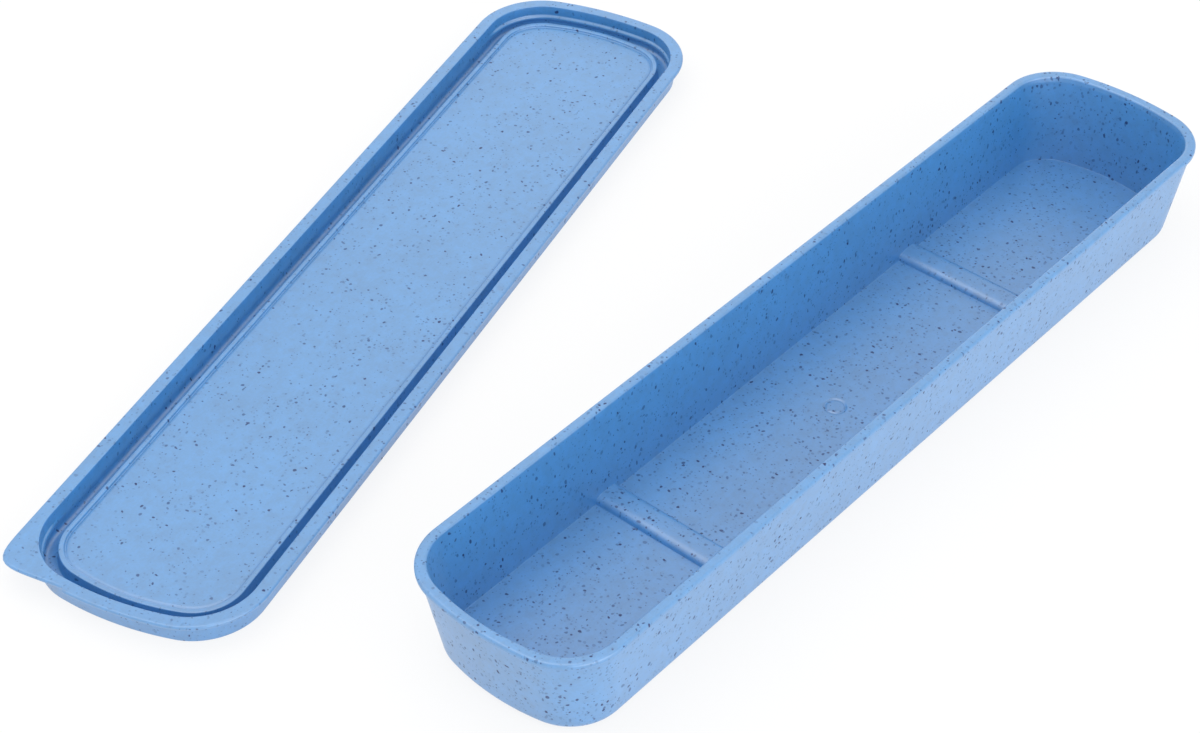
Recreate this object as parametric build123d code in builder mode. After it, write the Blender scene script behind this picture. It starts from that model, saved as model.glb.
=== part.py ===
"""Travel cutlery box: a shallow open tray with its lid lying upside down beside it, in millimetres.

Origin: centre of the tray's underside, on the table. +X runs along the tray, +Y points to the lid
and +Z is up. Both pieces are thin plastic mouldings.
"""
from build123d import *
import os
from math import atan2, cos, radians, sin, sqrt

# Tray: rim, wall and floor
RIM_LENGTH = 219.2
RIM_WIDTH = 46.4
RIM_BOW = 4.1
RIM_CORNER = 13.3
RIM_WALL = 2.3
BAND_STEP = 0.5
BAND_HEIGHT = 1.3
TRAY_HEIGHT = 22.8
FOOT_LENGTH = 210.4
FOOT_WIDTH = 39.8
FOOT_CORNER = 11.5
FOOT_ROUND = 2.2
FLOOR_LENGTH = 208.8
FLOOR_WIDTH = 37.0
FLOOR_CORNER = 9.6
FLOOR_TOP = 1.8
FLOOR_ROUND = 0.6
EDGE_ROUND = 0.35

# Tray: two cross ribs that keep cutlery off the floor, and the moulding mark between them
RIB_SPACING = 102.6
RIB_WIDTH = 6.8
RIB_LENGTH = 38.4
RIB_HEIGHT = 1.6
RIB_ROUND = 1.2
RIB_ROOT = 0.8
MARK_DIAMETER = 4.6
MARK_GROOVE = 0.3
MARK_DEPTH = 0.15

# Lid, as it lies: its place on the table, then sizes from the table up
LID_PLACE = (-32.2, 98.1, 0)
LID_TURN = 15.71
LID_HEIGHT = 6.5
FLANGE_LENGTH = 225.4
FLANGE_WIDTH = 53.2
FLANGE_BOW = 4.5
FLANGE_CORNER = 16.6
FLANGE_THICK = 0.95
FLANGE_STEP = 1.7
LID_TOP_LENGTH = 221.0
LID_TOP_WIDTH = 49.0
LID_TOP_CORNER = 14.4
LID_TOP_ROUND = 0.6
CHANNEL_FLOOR = 1.0
CHANNEL_GAP = 0.3
LIP_TOP = 3.9
LIP_THICK = 1.1
LIP_GAP = 0.2
LIP_LEAN = 0.3
PANEL_TOP = 3.45
PANEL_THICK = 1.2
RECESS_INSET = 3.6
RECESS_LEAN = 0.4

# Snap beads inside the skirt, round both ends only
BEAD_LOW = 2.5
BEAD_HIGH = 3.9
BEAD_REACH = 0.2
BEAD_ROOT = 0.9
BEAD_START = 92.0

# Pull tab that fills one corner of the flange
TAB_FROM_X = 90.0
TAB_FROM_Y = 4.0
TAB_END_X = 111.2
TAB_ROUND = 4.2


def draw_plan(length, width, bow, corner):
    """Draw a plan face: straight sides, ends bowed out by bow, corners rounded by corner.

    An end is an arc of radius ((width/2)^2 + bow^2) / (2 bow), and each corner arc touches both
    the end arc and the side.
    """
    half_length = length / 2
    half_width = width / 2
    end_radius = (half_width**2 + bow**2) / (2 * bow)
    end_centre = half_length - end_radius
    corner_y = half_width - corner
    corner_x = end_centre + sqrt((end_radius - corner) ** 2 - corner_y**2)
    touch_angle = atan2(corner_y, corner_x - end_centre)
    middle_angle = (touch_angle + radians(90)) / 2
    touch_x = end_centre + end_radius * cos(touch_angle)
    touch_y = end_radius * sin(touch_angle)
    middle_x = corner_x + corner * cos(middle_angle)
    middle_y = corner_y + corner * sin(middle_angle)
    with BuildLine() as outline:
        ThreePointArc((corner_x, half_width), (middle_x, middle_y), (touch_x, touch_y))
        ThreePointArc((touch_x, touch_y), (half_length, 0), (touch_x, -touch_y))
        ThreePointArc((touch_x, -touch_y), (middle_x, -middle_y), (corner_x, -half_width))
        mirror(about=Plane.YZ)
        Line((-corner_x, half_width), (corner_x, half_width))
        Line((-corner_x, -half_width), (corner_x, -half_width))
    make_face(outline.edges())


def draw_rim_plan(inset):
    """Draw the plan of the tray's rim, drawn in by inset all round."""
    draw_plan(RIM_LENGTH - 2 * inset, RIM_WIDTH - 2 * inset, RIM_BOW, RIM_CORNER - inset)


def draw_flange_plan(inset):
    """Draw the plan of the lid's flange, drawn in by inset all round."""
    draw_plan(FLANGE_LENGTH - 2 * inset, FLANGE_WIDTH - 2 * inset, FLANGE_BOW, FLANGE_CORNER - inset)


os.makedirs("parts", exist_ok=True)

# Tray
with BuildPart() as tray:
    with BuildSketch(Plane.XY):
        draw_plan(FOOT_LENGTH, FOOT_WIDTH, RIM_BOW, FOOT_CORNER)
    with BuildSketch(Plane.XY.offset(TRAY_HEIGHT)):
        draw_rim_plan(BAND_STEP)
    loft(ruled=True)
    fillet(tray.faces().sort_by(Axis.Z)[0].edges(), FOOT_ROUND)
    with BuildSketch(Plane.XY.offset(TRAY_HEIGHT - BAND_HEIGHT)):
        draw_rim_plan(0)
    extrude(amount=BAND_HEIGHT)
    with BuildSketch(Plane.XY.offset(FLOOR_TOP)):
        draw_plan(FLOOR_LENGTH, FLOOR_WIDTH, RIM_BOW, FLOOR_CORNER)
    with BuildSketch(Plane.XY.offset(TRAY_HEIGHT)):
        draw_rim_plan(RIM_WALL)
    loft(ruled=True, mode=Mode.SUBTRACT)
    floor_face = tray.faces().filter_by(Plane.XY).group_by(Axis.Z)[1][0]
    fillet(floor_face.edges(), FLOOR_ROUND)
    fillet(tray.faces().sort_by(Axis.Z)[-1].edges(), EDGE_ROUND)
    with BuildSketch(Plane.XY.offset(FLOOR_TOP)):
        Circle(MARK_DIAMETER / 2)
        Circle(MARK_DIAMETER / 2 - MARK_GROOVE, mode=Mode.SUBTRACT)
    extrude(amount=-MARK_DEPTH, mode=Mode.SUBTRACT)

with BuildPart() as ribs:
    with BuildSketch(Plane.XZ.offset(-RIB_LENGTH / 2)):
        with GridLocations(RIB_SPACING, 1, 2, 1):
            with Locations((0, FLOOR_TOP + (RIB_HEIGHT - RIB_ROOT) / 2)):
                Rectangle(RIB_WIDTH, RIB_HEIGHT + RIB_ROOT)
    extrude(amount=RIB_LENGTH)
    fillet(ribs.edges().filter_by(Axis.Y).group_by(Axis.Z)[-1], RIB_ROUND)

with tray:
    add(ribs.part)

tray.part.label = "tray"
export_step(tray.part, "parts/tray.step")

# Lid, upside down: flange and channel up, outer face on the table
turn = radians(LID_TURN)
lid_plane = Plane(origin=LID_PLACE, x_dir=(cos(turn), sin(turn), 0), z_dir=(0, 0, 1))

with BuildPart() as beads:
    with BuildSketch(lid_plane.offset(BEAD_LOW)):
        draw_rim_plan(-BEAD_ROOT)
    extrude(amount=BEAD_HIGH - BEAD_LOW)
    with BuildSketch(lid_plane.offset(BEAD_LOW)):
        draw_rim_plan(-CHANNEL_GAP)
    with BuildSketch(lid_plane.offset((BEAD_LOW + BEAD_HIGH) / 2)):
        draw_rim_plan(BEAD_REACH)
    with BuildSketch(lid_plane.offset(BEAD_HIGH)):
        draw_rim_plan(-CHANNEL_GAP)
    loft(ruled=True, mode=Mode.SUBTRACT)
    with BuildSketch(lid_plane.offset(BEAD_LOW)):
        Rectangle(2 * BEAD_START, 2 * RIM_WIDTH)
    extrude(amount=BEAD_HIGH - BEAD_LOW, mode=Mode.SUBTRACT)

with BuildPart() as lid:
    with BuildSketch(lid_plane):
        draw_plan(LID_TOP_LENGTH, LID_TOP_WIDTH, FLANGE_BOW, LID_TOP_CORNER)
    with BuildSketch(lid_plane.offset(LID_HEIGHT)):
        draw_flange_plan(FLANGE_STEP)
    loft(ruled=True)
    fillet(lid.faces().sort_by(Axis.Z)[0].edges(), LID_TOP_ROUND)
    with BuildSketch(lid_plane.offset(LID_HEIGHT - FLANGE_THICK)):
        draw_flange_plan(0)
        with BuildLine():
            FilletPolyline(
                (-TAB_FROM_X, TAB_FROM_Y),
                (-TAB_FROM_X, FLANGE_WIDTH / 2),
                (-TAB_END_X, FLANGE_WIDTH / 2),
                (-TAB_END_X, TAB_FROM_Y),
                radius=TAB_ROUND,
                close=True,
            )
        make_face()
    extrude(amount=FLANGE_THICK)
    with BuildSketch(lid_plane.offset(CHANNEL_FLOOR)):
        draw_rim_plan(-CHANNEL_GAP)
    extrude(amount=LID_HEIGHT - CHANNEL_FLOOR, mode=Mode.SUBTRACT)
    with BuildSketch(lid_plane.offset(CHANNEL_FLOOR)):
        draw_rim_plan(RIM_WALL + LIP_GAP)
    with BuildSketch(lid_plane.offset(LIP_TOP)):
        draw_rim_plan(RIM_WALL + LIP_GAP + LIP_LEAN)
    loft(ruled=True)
    with BuildSketch(lid_plane.offset(PANEL_TOP)):
        draw_rim_plan(RIM_WALL + LIP_GAP + LIP_LEAN + LIP_THICK)
    extrude(amount=LIP_TOP - PANEL_TOP, mode=Mode.SUBTRACT)
    with BuildSketch(lid_plane):
        draw_rim_plan(RECESS_INSET)
    with BuildSketch(lid_plane.offset(PANEL_TOP - PANEL_THICK)):
        draw_rim_plan(RECESS_INSET + RECESS_LEAN)
    loft(ruled=True, mode=Mode.SUBTRACT)
    fillet(lid.faces().sort_by(Axis.Z)[-1].edges(), EDGE_ROUND)
    add(beads.part)

lid.part.label = "lid"
export_step(lid.part, "parts/lid.step")
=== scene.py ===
import bmesh
import bpy
import numpy as np
from mathutils import Matrix


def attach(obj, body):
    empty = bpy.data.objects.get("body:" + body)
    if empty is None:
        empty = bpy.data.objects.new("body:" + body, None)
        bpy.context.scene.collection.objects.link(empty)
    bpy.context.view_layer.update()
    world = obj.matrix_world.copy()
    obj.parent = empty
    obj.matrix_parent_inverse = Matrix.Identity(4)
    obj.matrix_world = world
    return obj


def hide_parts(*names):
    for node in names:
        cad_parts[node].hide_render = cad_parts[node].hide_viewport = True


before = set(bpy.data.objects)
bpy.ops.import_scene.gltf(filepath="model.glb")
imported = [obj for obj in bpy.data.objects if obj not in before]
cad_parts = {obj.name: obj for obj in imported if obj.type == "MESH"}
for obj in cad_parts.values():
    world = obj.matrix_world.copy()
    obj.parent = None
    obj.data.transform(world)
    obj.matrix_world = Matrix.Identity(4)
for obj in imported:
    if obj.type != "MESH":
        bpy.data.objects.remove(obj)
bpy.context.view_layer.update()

# Tray
# The open lower half of the box: one injection moulding in plastic filled with straw fibre.
# Its walls lean outwards, a band stiffens the rim, and two cross ribs hold the cutlery off the floor.
rim_length = 0.2192
rim_width = 0.0464
rim_bow = 0.0041
rim_corner = 0.0133
rim_wall = 0.0023
band_step = 0.0005
band_height = 0.0013
tray_height = 0.0228
foot_length = 0.2104
foot_width = 0.0398
foot_corner = 0.0115
foot_round = 0.0022
floor_length = 0.2088
floor_width = 0.0370
floor_corner = 0.0096
floor_top = 0.0018
floor_round = 0.00005
rim_round = 0.0006
rim_inner_round = 0.0006
band_round = 0.0003
rib_place = 0.0513
rib_half_width = 0.0034
rib_height = 0.0016
rib_bend_width = 0.0120
mark_radius = 0.00215
mark_half_width = 0.0002
mark_depth = 0.00028
tray_spine = 0.088
edge_support = 0.0002
near_side = 0.06
full_side = 0.10
merge_distance = 2e-6


def plan_arcs(length, width, bow, corner):
    """Radius of a plan's end arc, x of its centre, and x and y of the corner arc's centre.

    The end arc bows out by bow over the whole width, so its radius is ((width/2)^2 + bow^2) / (2 bow).
    The corner arc, of radius corner, touches both the end arc and the straight side.
    """
    half_width = width / 2
    end_radius = (half_width**2 + bow**2) / (2 * bow)
    end_centre = length / 2 - end_radius
    corner_y = half_width - corner
    corner_x = end_centre + np.sqrt((end_radius - corner) ** 2 - corner_y**2)
    return end_radius, end_centre, corner_x, corner_y


def plan_quarter(length, width, bow, corner, side, corner_steps, end_steps):
    """Quarter of a plan outline, from the middle of the long side to the middle of the end.

    The side is straight, and the corner and the end follow plan_arcs. side places points along the
    side: up to near_side each value is a distance from the middle, and from there to full_side the
    values share out what is left before the corner.
    """
    end_radius, end_centre, corner_x, corner_y = plan_arcs(length, width, bow, corner)
    touch = np.arctan2(corner_y, corner_x - end_centre)
    fixed = np.minimum(side, near_side)
    shared = np.maximum(side - near_side, 0) / (full_side - near_side)
    side_x = fixed + shared * (corner_x - near_side)
    side_y = width / 2 + 0 * side
    turn = np.linspace(0, 1, corner_steps + 1)[1:]
    angle = np.pi / 2 + (touch - np.pi / 2) * turn
    round_x = corner_x + corner * np.cos(angle)
    round_y = corner_y + corner * np.sin(angle)
    bend = touch * (1 - np.linspace(0, 1, end_steps + 1)[1:])
    end_x = end_centre + end_radius * np.cos(bend)
    end_y = end_radius * np.sin(bend)
    x = np.concatenate([side_x, round_x, end_x], axis=1)
    y = np.concatenate([side_y, round_y, end_y], axis=1)
    return x, y


def plan_rings(length, width, bow, corner, side, corner_steps=24, end_steps=22):
    """Closed plan outlines, one row for each length, width, bow and corner.

    The quarter outline is mirrored into the other three, and each ring goes once round, seen from
    above against the clock from the middle of the +Y side.
    """
    sizes = np.broadcast_arrays(length, width, bow, corner)
    sizes = [np.atleast_1d(value)[:, None] for value in sizes]
    x, y = plan_quarter(*sizes, side[None, :], corner_steps, end_steps)
    ring_x = np.concatenate([x, x[:, -2::-1], -x[:, 1:], -x[:, -2:0:-1]], axis=1)
    ring_y = np.concatenate([y, -y[:, -2::-1], -y[:, 1:], y[:, -2:0:-1]], axis=1)
    return ring_x[:, ::-1], ring_y[:, ::-1]


def ring_mesh(name, x, y, z):
    """Mesh of a grid of rings: neighbours along a ring and from ring to ring make four-sided faces.

    Points that fall on one another, as along the spine where the first and last rings close, are
    merged, and the normals point out of the closed solid.
    """
    rows, columns = x.shape
    points = np.stack([x, y, z], axis=-1).reshape(-1, 3)
    row, column = np.meshgrid(np.arange(rows - 1), np.arange(columns), indexing="ij")
    here = row * columns + column
    beside = row * columns + (column + 1) % columns
    faces = np.stack([here, beside, beside + columns, here + columns], axis=-1).reshape(-1, 4)
    mesh = bpy.data.meshes.new(name)
    mesh.from_pydata(points.tolist(), [], faces.tolist())
    work = bmesh.new()
    work.from_mesh(mesh)
    bmesh.ops.remove_doubles(work, verts=work.verts, dist=merge_distance)
    bmesh.ops.dissolve_degenerate(work, edges=work.edges, dist=merge_distance / 2)
    bmesh.ops.recalc_face_normals(work, faces=work.faces)
    work.to_mesh(mesh)
    work.free()
    mesh.polygons.foreach_set("use_smooth", np.ones(len(mesh.polygons), dtype=bool))
    piece = bpy.data.objects.new(name, mesh)
    bpy.context.collection.objects.link(piece)
    return piece


def tray_wall(z, inset, outside):
    """Plan sizes of the tray's wall at height z, drawn in by inset.

    Each wall face leans evenly: outside from the foot to just under the rim band, inside from the
    floor to the rim.
    """
    if outside:
        low = np.array([foot_length, foot_width, foot_corner])
        high = np.array([rim_length, rim_width, rim_corner]) - np.array([2, 2, 1]) * band_step
        share = z / tray_height
    else:
        low = np.array([floor_length, floor_width, floor_corner])
        high = np.array([rim_length, rim_width, rim_corner]) - np.array([2, 2, 1]) * rim_wall
        share = (z - floor_top) / (tray_height - floor_top)
    sizes = low + (high - low) * np.asarray(share)[..., None]
    length = sizes[..., 0] - 2 * inset
    width = sizes[..., 1] - 2 * inset
    return length, width, rim_bow + 0 * length, sizes[..., 2] - inset


def to_spine(x, y, share, spine_end):
    """Rings drawn in towards the spine on the X axis: share is 1 on the outline and 0 on the spine."""
    spine_x = np.clip(x, -spine_end, spine_end)
    return spine_x + (x - spine_x) * share[:, None], y * share[:, None]


# Points along the long side, close together over the moulding mark and over each rib.
near_mark = np.linspace(0, 0.0028, 17)
mark_to_rib = [0.005, 0.012, 0.022, 0.033, 0.042]
rib_off_mm = np.array([
    0, 0.4, 0.7, 0.9, 1.3, 1.7, 2.0, 2.2, 2.4, 2.6, 2.8,
    3.0, 3.15, 3.25, 3.33, 3.38, 3.4, 3.45, 3.6, 4.0, 5.2,
])
rib_off = rib_off_mm * 0.001
near_rib = rib_place + np.concatenate([-rib_off[:0:-1], rib_off])
far_side = np.linspace(near_side, full_side, 13)
tray_side = np.concatenate([near_mark, mark_to_rib, near_rib, far_side])

# Every rounded edge turns through a right angle in the same steps.
turn = np.linspace(0, np.pi / 2, 9)

flat_share = np.array([0, 0.2, 0.5, 0.8, 0.95, 1.0])

foot_sizes = tray_wall(0 * flat_share, foot_round, True)
foot_x, foot_y = plan_rings(*foot_sizes, tray_side)
foot_x, foot_y = to_spine(foot_x, foot_y, flat_share, tray_spine)
foot_z = 0 * foot_x

edge_z = foot_round * (1 - np.cos(turn[1:]))
wall_z = np.array([0.0025, 0.003, 0.007, 0.012, 0.017, 0.0209, 0.0213, 0.0215])
outside_z = np.concatenate([edge_z, wall_z])
outside_inset = np.concatenate([foot_round * (1 - np.sin(turn[1:])), 0 * wall_z])
outside_x, outside_y = plan_rings(*tray_wall(outside_z, outside_inset, True), tray_side)
outside_z = outside_z[:, None] + 0 * outside_x

band_low = tray_height - band_height
band_inset = np.concatenate([
    [band_step - edge_support / 2, band_round],
    band_round * (1 - np.sin(turn)),
    rim_round * (1 - np.cos(turn)),
    [rim_round + edge_support, rim_wall - rim_inner_round - edge_support],
    rim_wall - rim_inner_round + rim_inner_round * np.sin(turn),
])
band_z = np.concatenate([
    [band_low, band_low],
    band_low + band_round * (1 - np.cos(turn)),
    tray_height - rim_round * (1 - np.sin(turn)),
    [tray_height, tray_height],
    tray_height - rim_inner_round * (1 - np.cos(turn)),
])
band_sizes = (rim_length - 2 * band_inset, rim_width - 2 * band_inset, rim_bow, rim_corner - band_inset)
band_x, band_y = plan_rings(*band_sizes, tray_side)
band_z = band_z[:, None] + 0 * band_x

root_top = floor_top + floor_round + edge_support
inside_z = np.array([0.0219, 0.0212, 0.018, 0.014, 0.010, 0.007, 0.005, 0.0035, root_top])
root_z = floor_top + floor_round * (1 - np.sin(turn))
inside_inset = np.concatenate([0 * inside_z, floor_round * (1 - np.cos(turn))])
inside_z = np.concatenate([inside_z, root_z])
inside_x, inside_y = plan_rings(*tray_wall(inside_z, inside_inset, False), tray_side)

floor_share = [0.985, 0.94, 0.85, 0.7, 0.55, 0.4, 0.3, 0.22]
floor_share = np.concatenate([floor_share, np.linspace(0.165, 0, 20)])
floor_sizes = tray_wall(floor_top + 0 * floor_share, floor_round, False)
floor_x, floor_y = plan_rings(*floor_sizes, tray_side)
floor_x, floor_y = to_spine(floor_x, floor_y, floor_share, tray_spine)
inside_z = inside_z[:, None] + 0 * inside_x
floor_z = floor_top + 0 * floor_x


def rib_rise(x):
    """Height of the two cross ribs above the floor.

    The profile is rib_height (1 - |u|^4.5)^0.6, where u runs from -1 to 1 across the rib: nearly flat
    on top, round at the shoulders and steep at the foot.
    """
    across = np.abs(np.abs(x) - rib_place) / rib_half_width
    return rib_height * np.clip(1 - across**4.5, 0, 1) ** 0.6


def raise_ribs(x, y, z, wall_share):
    """Lift the floor over the ribs, and let the wall above share the lift up to the rim.

    Lifted points also move out by lean times lift, so that they stay on the leaning wall. Nearer to
    the middle than rib_bend_width that move fades to nothing.
    """
    lift = rib_rise(x) * wall_share
    lean = (rim_width - 2 * rim_wall - floor_width) / 2 / (tray_height - floor_top)
    outward = np.minimum(1, np.abs(y) / rib_bend_width)
    return y + np.sign(y) * lean * lift * outward, z + lift


inside_share = (tray_height - inside_z) / (tray_height - floor_top)
inside_y, inside_z = raise_ribs(inside_x, inside_y, inside_z, inside_share)
floor_y, floor_z = raise_ribs(floor_x, floor_y, floor_z, 1.0)
mark_off = (np.hypot(floor_x, floor_y) - mark_radius) / mark_half_width
floor_z = floor_z - mark_depth * np.exp(-(mark_off**2))

tray_x = np.concatenate([foot_x, outside_x, band_x, inside_x, floor_x])
tray_y = np.concatenate([foot_y, outside_y, band_y, inside_y, floor_y])
tray_z = np.concatenate([foot_z, outside_z, band_z, inside_z, floor_z])
tray_shell = ring_mesh("tray_shell", tray_x, tray_y, tray_z)

plastic_blue = (0.037, 0.238, 0.555)
navy_fleck = (0.0, 0.01, 0.10)
brown_fleck = (0.012, 0.03, 0.12)
tone_swing = 0.14
stain_depth = 0.14
dust_depth = 0.8
husk_depth = 0.85
coat_worn = 0.85
speck_warp = 0.8
cluster_scale = 170


def speckled_plastic(name, amount, seed):
    """Satin plastic filled with ground straw, in the given amount.

    The colour drifts a little over centimetres and over fractions of a millimetre. Four layers of
    specks lie in it: wide faint stains, fine dust, brown flecks of husk and navy dots. A clear coat
    gives the plastic its soft haze of light, and is thin over the specks, which are dull.
    """
    material = bpy.data.materials.new(name)
    material.use_nodes = True
    nodes = material.node_tree.nodes
    links = material.node_tree.links
    shader = nodes["Principled BSDF"]
    shader.inputs["IOR"].default_value = 1.5
    shader.inputs["Coat Roughness"].default_value = 0.39
    shader.inputs["Coat IOR"].default_value = 2.24
    place = nodes.new("ShaderNodeTexCoord")

    def noise(scale, detail, vector):
        """Noise texture node of the given scale and detail."""
        texture = nodes.new("ShaderNodeTexNoise")
        texture.inputs["Scale"].default_value = scale
        texture.inputs["Detail"].default_value = detail
        links.new(vector, texture.inputs["Vector"])
        return texture

    def math(kind, first, second):
        """Math node of two values, each a number or a socket."""
        node = nodes.new("ShaderNodeMath")
        node.operation = kind
        for socket, value in zip(node.inputs, (first, second)):
            if isinstance(value, (int, float)):
                socket.default_value = value
            else:
                links.new(value, socket)
        return node.outputs["Value"]

    def ranged(value, low, high, to_low, to_high):
        """Value taken from the range low to high into the range to_low to to_high, and held there."""
        node = nodes.new("ShaderNodeMapRange")
        for socket, given in zip(node.inputs, (value, low, high, to_low, to_high)):
            if isinstance(given, (int, float)):
                socket.default_value = given
            else:
                links.new(given, socket)
        return node.outputs["Result"]

    def mixed(share, first, second):
        """Colour between first, at share 0, and second, at share 1."""
        node = nodes.new("ShaderNodeMix")
        node.data_type = "RGBA"
        links.new(share, node.inputs["Factor"])
        for socket, value in ((node.inputs[6], first), (node.inputs[7], second)):
            if isinstance(value, tuple):
                socket.default_value = (*value, 1)
            else:
                links.new(value, socket)
        return node.outputs[2]

    def specks(cell, share, radius, stretch, turned, shift):
        """Mask of one layer of specks, 1 in the middle of the darkest and 0 between them.

        The layer is a Voronoi pattern with cells of the given size, warped by noise so that no speck
        is a disc. A cell holds a speck when its random value is over 1 - share, and the rest of that
        value sets its size, up to radius. Noise over some millimetres is added to the random value
        first, which gathers the specks in loose clusters.
        """
        mapping = nodes.new("ShaderNodeMapping")
        mapping.inputs["Rotation"].default_value = turned
        mapping.inputs["Location"].default_value = (shift, seed, shift)
        mapping.inputs["Scale"].default_value = stretch
        links.new(place.outputs["Object"], mapping.inputs["Vector"])
        warp = noise(speck_warp / cell, 1, mapping.outputs["Vector"])
        bent = nodes.new("ShaderNodeVectorMath")
        bent.operation = "MULTIPLY_ADD"
        bent.inputs[1].default_value = [cell * speck_warp] * 3
        links.new(warp.outputs["Color"], bent.inputs[0])
        links.new(mapping.outputs["Vector"], bent.inputs[2])
        cells = nodes.new("ShaderNodeTexVoronoi")
        cells.inputs["Scale"].default_value = 1 / cell
        links.new(bent.outputs["Vector"], cells.inputs["Vector"])
        pick = nodes.new("ShaderNodeSeparateColor")
        links.new(cells.outputs["Color"], pick.inputs["Color"])
        crowd = noise(cluster_scale, 1, mapping.outputs["Vector"])
        gather = ranged(crowd.outputs["Fac"], 0.35, 0.65, -0.3, 0.3)
        chance = math("ADD", pick.outputs["Red"], gather)
        size = ranged(chance, 1 - share, 1 - share * 0.5, 0.0, radius / cell)
        soft = math("MULTIPLY", size, 0.7)
        mask = ranged(cells.outputs["Distance"], soft, math("ADD", size, 1e-4), 1.0, 0.0)
        strength = ranged(math("POWER", pick.outputs["Green"], 2.0), 0, 1, 0.22, 1.0)
        return math("MULTIPLY", mask, strength)

    vector = place.outputs["Object"]
    drift = noise(45, 2, vector)
    grain = noise(1800, 2, vector)
    mottle = noise(420, 2, vector)
    cloud = ranged(drift.outputs["Fac"], 0.3, 0.7, -0.35, 0.35)
    blotch = ranged(mottle.outputs["Fac"], 0.3, 0.7, -0.55, 0.55)
    fine = ranged(grain.outputs["Fac"], 0.3, 0.7, -0.40, 0.40)
    tone = math("ADD", cloud, math("ADD", blotch, fine))
    pale = tuple(channel * (1 + tone_swing) for channel in plastic_blue)
    deep = tuple(channel * (1 - tone_swing) for channel in plastic_blue)
    base = mixed(ranged(tone, -1, 1, 0, 1), deep, pale)

    stain = specks(0.0022, 0.50 * amount, 0.00085, (1, 0.8, 1), (0.2, 0.9, 0.7), 0.73)
    dust = specks(0.0008, 0.65 * amount, 0.00022, (1, 1, 1), (0.3, 0.5, 0.1), 0.31)
    husk = specks(0.0013, 0.42 * amount, 0.00034, (0.8, 1, 0.6), (0.5, 0.2, 1.1), 0.17)
    dots = specks(0.0012, 0.50 * amount, 0.00036, (1, 0.9, 0.8), (0.8, 0.1, 0.4), 0.57)
    base = mixed(math("MULTIPLY", stain, stain_depth), base, brown_fleck)
    base = mixed(math("MULTIPLY", dust, dust_depth), base, navy_fleck)
    base = mixed(math("MULTIPLY", husk, husk_depth), base, brown_fleck)
    base = mixed(dots, base, navy_fleck)
    links.new(base, shader.inputs["Base Color"])
    dull = math("MAXIMUM", math("MAXIMUM", dots, husk), math("MULTIPLY", dust, dust_depth))
    coat = math("SUBTRACT", 1.0, math("MULTIPLY", dull, coat_worn))
    links.new(coat, shader.inputs["Coat Weight"])

    relief = nodes.new("ShaderNodeBump")
    relief.inputs["Strength"].default_value = 0.25
    relief.inputs["Distance"].default_value = 0.00004
    links.new(noise(900, 3, vector).outputs["Fac"], relief.inputs["Height"])
    links.new(relief.outputs["Normal"], shader.inputs["Normal"])
    roughness = ranged(grain.outputs["Fac"], 0.2, 0.8, 0.50, 0.60)
    links.new(roughness, shader.inputs["Roughness"])
    return material


tray_plastic = speckled_plastic("speckled_tray_plastic", 1.3, 0.0)
tray_shell.data.materials.append(tray_plastic)
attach(tray_shell, "tray")
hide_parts("tray")

# Lid
# The press-fit lid, one moulding in the same plastic, lying upside down: its outer face is on the
# table and its rim channel opens upwards. A flange with a pull tab at one corner runs round it, beads
# at the ends grip the tray's rim band, and a thin lip inside the channel plugs the tray.
lid_place = (-0.0322, 0.0981)
lid_turn = np.radians(15.71)
lid_height = 0.0065
flange_length = 0.2254
flange_width = 0.0532
flange_bow = 0.0045
flange_corner = 0.0166
flange_thick = 0.00095
flange_step = 0.0017
flange_round = 0.0003
flange_crown = 0.00045
lid_top_length = 0.2210
lid_top_width = 0.0490
lid_top_corner = 0.0144
lid_top_round = 0.0006
channel_floor = 0.0010
channel_round = 0.0010
mouth_round = 0.0002
channel_gap = 0.0003
lip_top = 0.0039
lip_thick = 0.0011
lip_gap = 0.0002
lip_lean = 0.0003
lip_round = 0.00025
lip_groove = 0.0005
lip_groove_depth = 0.00016
panel_top = 0.00345
panel_thick = 0.0012
recess_inset = 0.0036
recess_lean = 0.0004
recess_edge = 0.0003
bead_middle = 0.0032
bead_half_height = 0.0007
bead_depth = 0.0005
bead_start = 0.092
bead_fade = 0.006
bead_centre = 0.09
tab_end = 0.1112
tab_power = 7
lid_spine = 0.084

near_points = np.linspace(0, near_side, 13)
far_points = np.linspace(near_side, full_side, 17)
lid_side = np.concatenate([near_points, far_points[1:]])


def between(low, high, share):
    """Plan sizes part of the way between two plans: share is 0 at low and 1 at high."""
    return tuple(a + (b - a) * share for a, b in zip(low, high))


def drawn_in(plan, inset):
    """Plan sizes drawn in by inset all round."""
    length, width, bow, corner = plan
    return length - 2 * inset, width - 2 * inset, bow + 0 * inset, corner - inset


top_plan = (lid_top_length, lid_top_width, flange_bow, lid_top_corner)
flange_plan = (flange_length, flange_width, flange_bow, flange_corner)
rim_plan = (rim_length, rim_width, rim_bow, rim_corner)


def lid_rings(plan, inset, z):
    """Rings of the lid: the plan drawn in by each inset, at each height z."""
    inset = np.asarray(inset, dtype=float)
    x, y = plan_rings(*drawn_in(plan, inset), lid_side)
    return x, y, np.asarray(z, dtype=float)[:, None] + 0 * x


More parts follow.
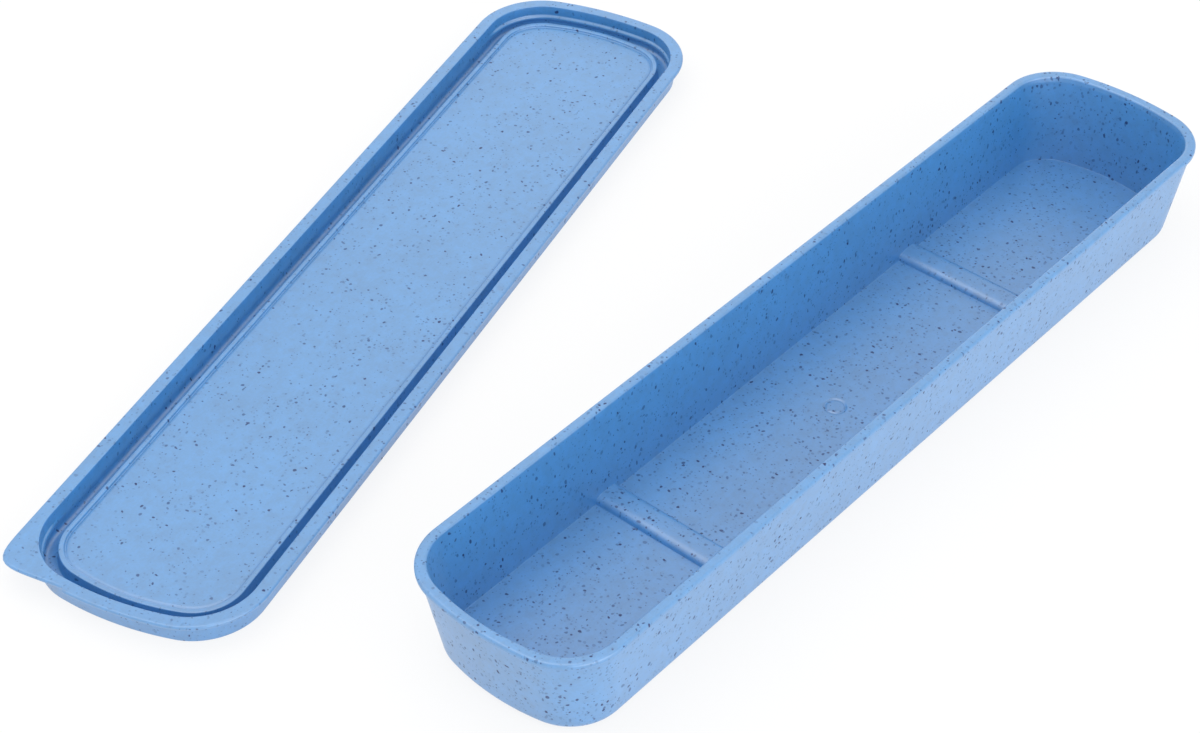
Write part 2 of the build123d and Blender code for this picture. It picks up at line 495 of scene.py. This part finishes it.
def add_tab(x, y):
    """Stretch flange rings into the pull tab at the -X, +Y corner.

    Round the corner's centre the ring follows |x/wide|^p + |y/high|^p = 1 with p = tab_power, which is
    nearly square, and the end beside it is drawn out level with it.
    """
    corner_x, corner_y = plan_arcs(*flange_plan)[2:]
    across = -x - corner_x
    up = y - corner_y
    reach = np.hypot(across, up)
    wide = tab_end - corner_x
    high = flange_width / 2 - corner_y
    angle_x = np.abs(across) / reach / wide
    angle_y = np.abs(up) / reach / high
    stretch = (angle_x**tab_power + angle_y**tab_power) ** (-1 / tab_power) / flange_corner
    in_corner = (across > 0) & (up > 0)
    new_x = np.where(in_corner, -corner_x - across * stretch, x)
    new_y = np.where(in_corner, corner_y + up * stretch, y)
    beside = (x < 0) & (y > 0) & ~in_corner & (across > 0)
    new_x = np.where(beside, np.minimum(new_x, -tab_end), new_x)
    return new_x, new_y


recess_top = panel_top - panel_thick
under_share = np.array([0, 0.3, 0.7, 0.95, 1.0])
under_inset = recess_inset + recess_lean + 0 * under_share
under_x, under_y, under_z = lid_rings(rim_plan, under_inset, recess_top + 0 * under_share)
under_x, under_y = to_spine(under_x, under_y, under_share, lid_spine)

side_inset = recess_inset + recess_lean * np.array([0.95, 0.5, 0.1, 0.0])
side_inset = np.append(side_inset, recess_inset - recess_edge)
side_z = [recess_top - edge_support, recess_top / 2, 0.0004, 0.00012, 0.0]
recess_rows = lid_rings(rim_plan, side_inset, side_z)
body_inset = lid_top_round * (1 - np.sin(turn))
body_z = lid_top_round * (1 - np.cos(turn))
body_rows = lid_rings(top_plan, body_inset, body_z)
wall_share = np.array([0.25, 0.5, 0.8, 0.845])
body_high = drawn_in(flange_plan, flange_step)
wall_x, wall_y = plan_rings(*between(top_plan, body_high, wall_share), lid_side)
wall_rows = (wall_x, wall_y, lid_height * wall_share[:, None] + 0 * wall_x)

flange_low = lid_height - flange_thick
flange_inset = np.concatenate([
    [flange_step - edge_support, flange_round],
    flange_round * (1 - np.sin(turn)),
    flange_crown * (1 - np.cos(turn)),
    [flange_crown + edge_support],
])
flange_z = np.concatenate([
    [flange_low, flange_low],
    flange_low + (flange_thick - flange_crown) * (1 - np.cos(turn)),
    lid_height - flange_crown * (1 - np.sin(turn)),
    [lid_height],
])
flange_x, flange_y, flange_z = lid_rings(flange_plan, flange_inset, flange_z)
flange_x, flange_y = add_tab(flange_x, flange_y)

mouth_edge = -channel_gap - mouth_round
mouth_inset = np.append(mouth_edge - edge_support, mouth_edge + mouth_round * np.sin(turn))
mouth_z = np.append(lid_height, lid_height - mouth_round * (1 - np.cos(turn)))
mouth_rows = lid_rings(rim_plan, mouth_inset, mouth_z)

deep_z = channel_floor + channel_round * (1 - np.sin(turn))
skirt_z = np.concatenate([[0.0058, 0.0052, 0.0046], np.linspace(0.0042, 0.0022, 13), deep_z])
skirt_inset = np.append(0 * skirt_z[:-len(turn)], channel_round * (1 - np.cos(turn)))
skirt_inset = skirt_inset - channel_gap
skirt_rows = lid_rings(rim_plan, skirt_inset, skirt_z)
bead_off = (skirt_z - bead_middle) / bead_half_height
bead_bulge = bead_depth * np.clip(1 - bead_off**2, 0, 1) ** 0.7

lip_foot = rim_wall + lip_gap
lip_outer = lip_foot + lip_lean
lip_inner = lip_outer + lip_thick
lip_inset = np.concatenate([
    [lip_foot - edge_support, lip_foot, lip_foot + lip_lean * 0.5],
    lip_outer + lip_round * (1 - np.cos(turn)),
    lip_inner - lip_round * (1 - np.sin(turn)),
    lip_inner + lip_groove * np.array([0.02, 0.25, 0.5, 0.75, 1.0]),
])
lip_z = np.concatenate([
    [channel_floor, channel_floor + edge_support, (channel_floor + lip_top) / 2],
    lip_top - lip_round * (1 - np.sin(turn)),
    lip_top - lip_round * (1 - np.cos(turn)),
    panel_top - lip_groove_depth * np.array([0.4, 0.9, 1.0, 0.6, 0.0]),
])
lip_rows = lid_rings(rim_plan, lip_inset, lip_z)

panel_share = np.array([0.97, 0.85, 0.6, 0.35, 0.15, 0])
panel_inset = lip_inner + lip_groove + 0 * panel_share
panel_x, panel_y, panel_z = lid_rings(rim_plan, panel_inset, panel_top + 0 * panel_share)
panel_x, panel_y = to_spine(panel_x, panel_y, panel_share, lid_spine)

skirt_x, skirt_y, skirt_z = skirt_rows
bead_share = np.clip((np.abs(skirt_x) - bead_start) / bead_fade, 0, 1)
bead_share = bead_share**2 * (3 - 2 * bead_share)
inward = bead_bulge[:, None] * bead_share
past_centre = np.maximum(np.abs(skirt_x) - bead_centre, 0)
ring_reach = np.hypot(past_centre, skirt_y)
skirt_x = skirt_x - np.sign(skirt_x) * inward * past_centre / ring_reach
skirt_y = skirt_y * (1 - inward / ring_reach)

sections = [
    (under_x, under_y, under_z),
    recess_rows,
    body_rows,
    wall_rows,
    (flange_x, flange_y, flange_z),
    mouth_rows,
    (skirt_x, skirt_y, skirt_z),
    lip_rows,
    (panel_x, panel_y, panel_z),
]
lid_x, lid_y, lid_z = (np.concatenate(part) for part in zip(*sections))
placed_x = lid_place[0] + lid_x * np.cos(lid_turn) - lid_y * np.sin(lid_turn)
placed_y = lid_place[1] + lid_x * np.sin(lid_turn) + lid_y * np.cos(lid_turn)
lid_shell = ring_mesh("lid_shell", placed_x, placed_y, lid_z)
lid_plastic = speckled_plastic("speckled_lid_plastic", 0.78, 4.0)
lid_shell.data.materials.append(lid_plastic)
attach(lid_shell, "lid")
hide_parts("lid")

# Table
# A plain white table top under both pieces. The camera, and the glossy plastic, see it nearly pure
# white, with a share of the pieces' soft shadow left on it.
table_half = 3.0
table_grey = 0.9
shadow_share = 0.16
table_mesh = bpy.data.meshes.new("table_top")
corners = [(-1, -1, 0), (1, -1, 0), (1, 1, 0), (-1, 1, 0)]
corners = (np.array(corners) * table_half).tolist()
table_mesh.from_pydata(corners, [], [(0, 1, 2, 3)])
table_top = bpy.data.objects.new("table_top", table_mesh)
bpy.context.collection.objects.link(table_top)
table_white = bpy.data.materials.new("white_table")
table_white.use_nodes = True
table_nodes = table_white.node_tree.nodes
table_links = table_white.node_tree.links
table_nodes.clear()
table_out = table_nodes.new("ShaderNodeOutputMaterial")
table_mix = table_nodes.new("ShaderNodeMixShader")
table_matt = table_nodes.new("ShaderNodeBsdfDiffuse")
table_matt.inputs["Color"].default_value = (table_grey, table_grey, table_grey, 1)
table_glow = table_nodes.new("ShaderNodeEmission")
table_rays = table_nodes.new("ShaderNodeLightPath")
table_share = table_nodes.new("ShaderNodeMath")
table_share.operation = "MULTIPLY"
table_share.inputs[1].default_value = 1 - shadow_share
table_seen = table_nodes.new("ShaderNodeMath")
table_seen.operation = "MAXIMUM"
table_links.new(table_rays.outputs["Is Camera Ray"], table_seen.inputs[0])
table_links.new(table_rays.outputs["Is Glossy Ray"], table_seen.inputs[1])
table_links.new(table_seen.outputs["Value"], table_share.inputs[0])
table_links.new(table_share.outputs["Value"], table_mix.inputs["Fac"])
table_links.new(table_matt.outputs["BSDF"], table_mix.inputs[1])
table_links.new(table_glow.outputs["Emission"], table_mix.inputs[2])
table_links.new(table_mix.outputs["Shader"], table_out.inputs["Surface"])
table_mesh.materials.append(table_white)

# Light and camera
# A white room with four broad soft boxes: one above, a strong one in front, and weak ones at the left
# and behind. The camera looks down over the near end of the tray.
room_strength = 0.83
boxes_aim = (0, 0.04, 0)
world = bpy.data.worlds.new("white_room")
world.use_nodes = True
world.node_tree.nodes["Background"].inputs["Color"].default_value = (1, 1, 1, 1)
world.node_tree.nodes["Background"].inputs["Strength"].default_value = room_strength
bpy.context.scene.world = world


def soft_box(name, place, size, power):
    """Square area lamp at place, of that size in metres and power in watts, facing boxes_aim."""
    lamp = bpy.data.lights.new(name, "AREA")
    lamp.size = size
    lamp.energy = power
    piece = bpy.data.objects.new(name, lamp)
    bpy.context.collection.objects.link(piece)
    toward = np.array(boxes_aim, dtype=float) - np.array(place, dtype=float)
    toward = toward / np.linalg.norm(toward)
    sideways = np.cross(toward, (0, 0, 1))
    sideways = sideways / np.linalg.norm(sideways)
    upward = np.cross(sideways, toward)
    piece.matrix_world = Matrix((
        (sideways[0], upward[0], -toward[0], place[0]),
        (sideways[1], upward[1], -toward[1], place[1]),
        (sideways[2], upward[2], -toward[2], place[2]),
        (0, 0, 0, 1),
    ))


soft_box("top_box", (-0.1, 0.25, 1.3), 1.2, 5.2)
soft_box("front_box", (-0.25, -1.2, 0.35), 1.3, 9.6)
soft_box("left_box", (-0.6, 1.1, 0.7), 1.2, 1.5)
soft_box("back_box", (1.0, 0.85, 0.3), 0.8, 1.2)

camera_place = np.array([-0.3356, -0.2279, 0.3644])
camera_ahead = np.array([0.7533, 0.6576])
camera_pitch = np.radians(41.10)
camera_roll = np.radians(-0.25)
camera = bpy.data.objects.new("camera", bpy.data.cameras.new("camera"))
camera.data.sensor_width = 36
camera.data.sensor_fit = "HORIZONTAL"
camera.data.lens = 77.92
camera.data.clip_start = 0.01
bpy.context.collection.objects.link(camera)
heading = camera_ahead / np.linalg.norm(camera_ahead)
ahead = np.append(heading * np.cos(camera_pitch), -np.sin(camera_pitch))
level = np.array([heading[1], -heading[0], 0])
above = np.cross(level, ahead)
right = level * np.cos(camera_roll) + above * np.sin(camera_roll)
up = -level * np.sin(camera_roll) + above * np.cos(camera_roll)
camera_turn = [[right[i], up[i], -ahead[i], camera_place[i]] for i in range(3)]
camera.matrix_world = Matrix(camera_turn + [[0, 0, 0, 1]])
bpy.context.scene.camera = camera
bpy.context.scene.view_settings.view_transform = "Standard"
